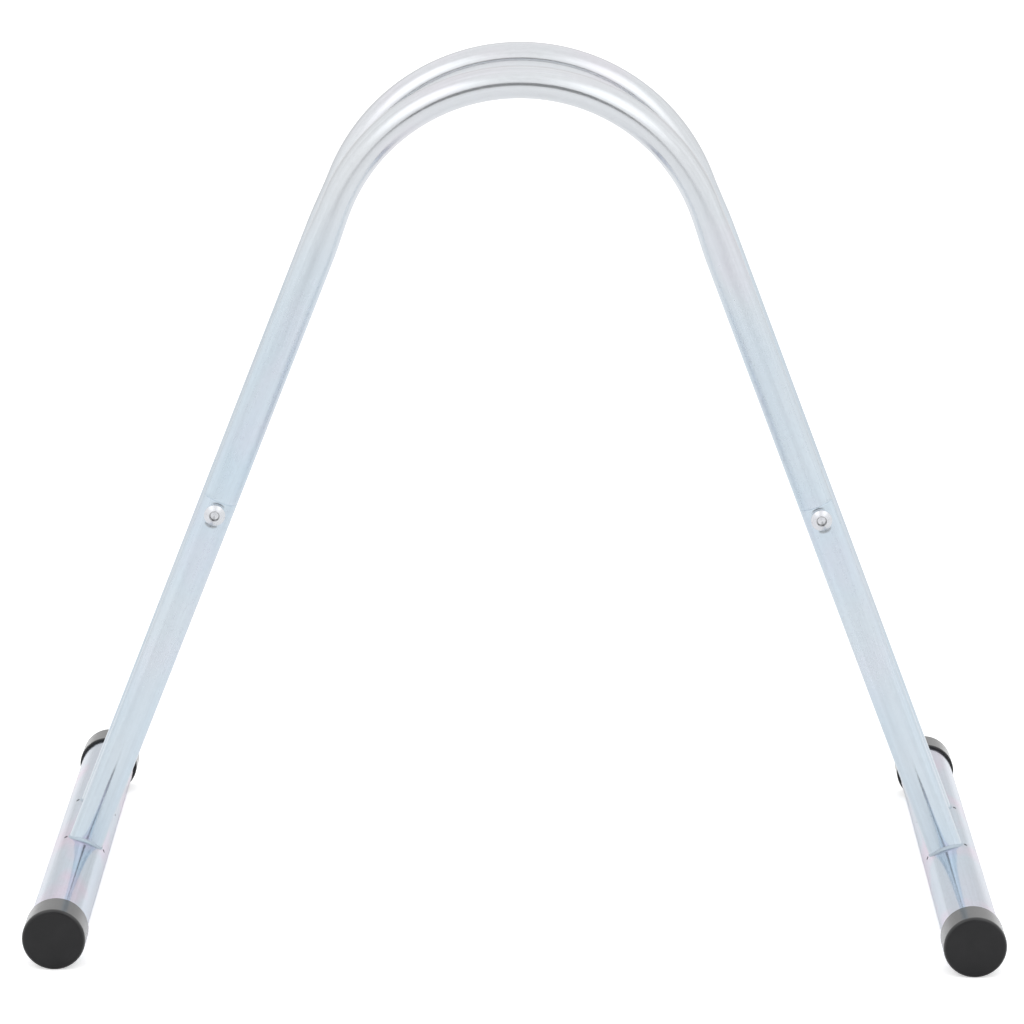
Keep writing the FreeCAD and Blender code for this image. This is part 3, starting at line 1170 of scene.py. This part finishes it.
def floor_material(colour_value, glow):
    """Pale floor, darkened with distance by painted shade outside the camera's view, and
    glowing in the camera's view.
    """
    material, make, shader = start_material("studio_floor")
    place = make.add("ShaderNodeTexCoord").outputs["Object"]
    # painted shade: away from the camera's view the floor darkens with distance
    fall = make.smooth(make.vector_math("LENGTH", place), 0.3, 2.5, 1.0, 0.92)
    seen = make.add("ShaderNodeLightPath").outputs["Is Camera Ray"]
    tone = make.math("MAXIMUM", fall, seen)
    make.feed(shader, {
        "Base Color": make.mixed(1.0, colour_value, make.grey(tone), "MULTIPLY"),
        "Roughness": 0.9,
        "Specular IOR Level": 0.1,
        "Emission Color": (1, 1, 1, 1),
        "Emission Strength": make.math("MULTIPLY", seen, glow),
    })
    make.arrange()
    return material


def fill_room(tree, studio):
    """White walls, a little dimmer behind the rack and low down."""
    make = TreeMaker(tree)
    direction = make.add("ShaderNodeTexCoord").outputs["Generated"]
    parts = make.separate(direction)
    elevation = make.math("ARCSINE", parts["Z"])
    above = make.smooth(elevation, math.radians(-6), math.radians(4))
    below = make.smooth(elevation, math.radians(34), math.radians(12))
    behind = make.smooth(parts["Y"], 0.3, 0.95)
    dim = make.math("MULTIPLY", make.math("MULTIPLY", above, below), behind)
    wall = make.math("MULTIPLY_ADD", dim, -studio.room_dimming, studio.room_light)
    seen = make.add("ShaderNodeLightPath").outputs["Is Camera Ray"]
    strength = make.add(
        "ShaderNodeMix", {0: seen, 2: wall, 3: 1.0}, data_type="FLOAT"
    ).outputs[0]
    background = make.add(
        "ShaderNodeBackground", {"Color": (1, 1, 1, 1), "Strength": strength}
    )
    make.add("ShaderNodeOutputWorld", {"Surface": background.outputs[0]})
    make.arrange()


class RACK_OT_make_stage(bpy.types.Operator):
    """Make the pale floor, the soft lights, the white room and the camera."""

    bl_idname = "rack.make_stage"
    bl_label = "Make Stage"

    def execute(self, context):
        scene = context.scene
        studio = scene.rack_studio
        half = studio.floor_size / 2
        mesh = bpy.data.meshes.new("studio_floor")
        mesh.from_pydata(
            [(-half, -half, 0), (half, -half, 0), (half, half, 0), (-half, half, 0)],
            [], [(0, 1, 2, 3)],
        )
        floor = rgba(scene.rack_finish.floor)
        mesh.materials.append(floor_material(floor, studio.floor_glow))
        stage_object("studio_floor", mesh)
        for side_name, side in SIDES.items():
            add_softbox(f"{side_name}_softbox", side, studio)
        add_dark_card(studio)
        world = bpy.data.worlds.new("white_room")
        world.use_nodes = True
        world.node_tree.nodes.clear()
        fill_room(world.node_tree, studio)
        scene.world = world
        scene.view_settings.view_transform = "Standard"
        add_camera(studio)
        return {"FINISHED"}


OPERATORS = (
    RACK_OT_make_arches,
    RACK_OT_make_legs,
    RACK_OT_finish_floor_tubes,
    RACK_OT_finish_end_caps,
    RACK_OT_finish_foot_welds,
    RACK_OT_finish_joint_screws,
    RACK_OT_make_stage,
)


class RACK_PT_sidebar(bpy.types.Panel):
    """The rack's sizes and finishes, and a button for each group of pieces."""

    bl_idname = "RACK_PT_sidebar"
    bl_label = "Floor Bike Rack"
    bl_space_type = "VIEW_3D"
    bl_region_type = "UI"
    bl_category = "Bike Rack"

    def draw(self, context):
        layout = self.layout
        scene = context.scene
        for operator in OPERATORS:
            layout.operator(operator.bl_idname)
        for group in (scene.rack_hoops, scene.rack_finish, scene.rack_studio):
            box = layout.box()
            for name in group.__annotations__:
                box.prop(group, name)


SETTINGS = {
    "rack_hoops": RackHoopSizes,
    "rack_finish": RackFinish,
    "rack_studio": RackStudio,
}


def register():
    for group in SETTINGS.values():
        bpy.utils.register_class(group)
    for name, group in SETTINGS.items():
        setattr(bpy.types.Scene, name, PointerProperty(type=group))
    for kind in (*OPERATORS, RACK_PT_sidebar):
        bpy.utils.register_class(kind)


def unregister():
    for kind in reversed((*OPERATORS, RACK_PT_sidebar)):
        bpy.utils.unregister_class(kind)
    for name, group in SETTINGS.items():
        delattr(bpy.types.Scene, name)
        bpy.utils.unregister_class(group)


def main():
    """Builds all pieces and the studio."""
    register()
    for operator in OPERATORS:
        group, name = operator.bl_idname.split(".")
        getattr(getattr(bpy.ops, group), name)()


if __name__ == "__main__":
    main()
